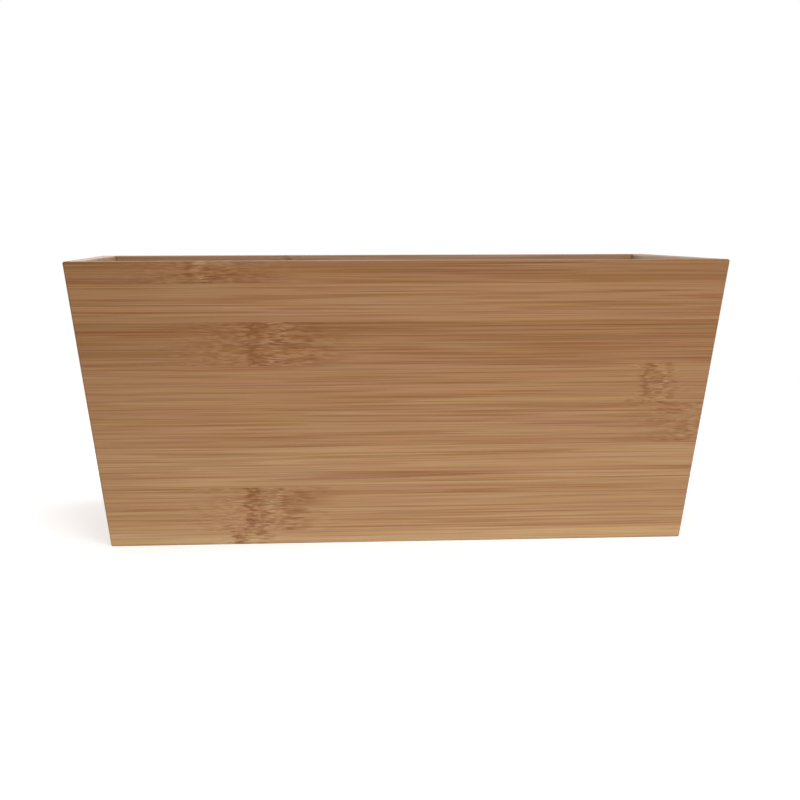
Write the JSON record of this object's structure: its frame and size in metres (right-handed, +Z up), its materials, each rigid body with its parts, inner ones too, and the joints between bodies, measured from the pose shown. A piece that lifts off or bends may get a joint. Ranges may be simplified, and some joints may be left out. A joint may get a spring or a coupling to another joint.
{
  "type": "storage box",
  "caption": "Open-topped rectangular storage box with outward-leaning mitred bamboo walls and a floor let into a groove, for keeping small things on a shelf or desk.",
  "frame": {"origin": "middle of the base, on the surface that the box stands on", "axes": "+X along the length of the box, to the right seen from the front; the front wall faces -Y; +Z up"},
  "size_m": [0.3298, 0.1898, 0.144],
  "materials": {
    "bamboo_wall": "carbonised bamboo, sanded, satin clear lacquer",
    "bamboo_floor": "carbonised bamboo, sanded, satin clear lacquer",
    "bamboo_spline": "carbonised bamboo, planed, hidden in the mitres"
  },
  "bodies": {
    "root": {"back_strip_1": "bamboo_wall", "back_strip_2": "bamboo_wall", "back_strip_3": "bamboo_wall", "back_strip_4": "bamboo_wall", "back_strip_5": "bamboo_wall", "back_strip_6": "bamboo_wall", "back_strip_7": "bamboo_wall", "back_strip_8": "bamboo_wall", "corner_spline_back_left": "bamboo_spline", "corner_spline_back_right": "bamboo_spline", "corner_spline_front_left": "bamboo_spline", "corner_spline_front_right": "bamboo_spline", "floor_strip_1": "bamboo_floor", "floor_strip_2": "bamboo_floor", "floor_strip_3": "bamboo_floor", "floor_strip_4": "bamboo_floor", "floor_strip_5": "bamboo_floor", "floor_strip_6": "bamboo_floor", "floor_strip_7": "bamboo_floor", "front_strip_1": "bamboo_wall", "front_strip_2": "bamboo_wall", "front_strip_3": "bamboo_wall", "front_strip_4": "bamboo_wall", "front_strip_5": "bamboo_wall", "front_strip_6": "bamboo_wall", "front_strip_7": "bamboo_wall", "front_strip_8": "bamboo_wall", "left_strip_1": "bamboo_wall", "left_strip_2": "bamboo_wall", "left_strip_3": "bamboo_wall", "left_strip_4": "bamboo_wall", "left_strip_5": "bamboo_wall", "left_strip_6": "bamboo_wall", "left_strip_7": "bamboo_wall", "left_strip_8": "bamboo_wall", "right_strip_1": "bamboo_wall", "right_strip_2": "bamboo_wall", "right_strip_3": "bamboo_wall", "right_strip_4": "bamboo_wall", "right_strip_5": "bamboo_wall", "right_strip_6": "bamboo_wall", "right_strip_7": "bamboo_wall"}
  },
  "joints": []
}
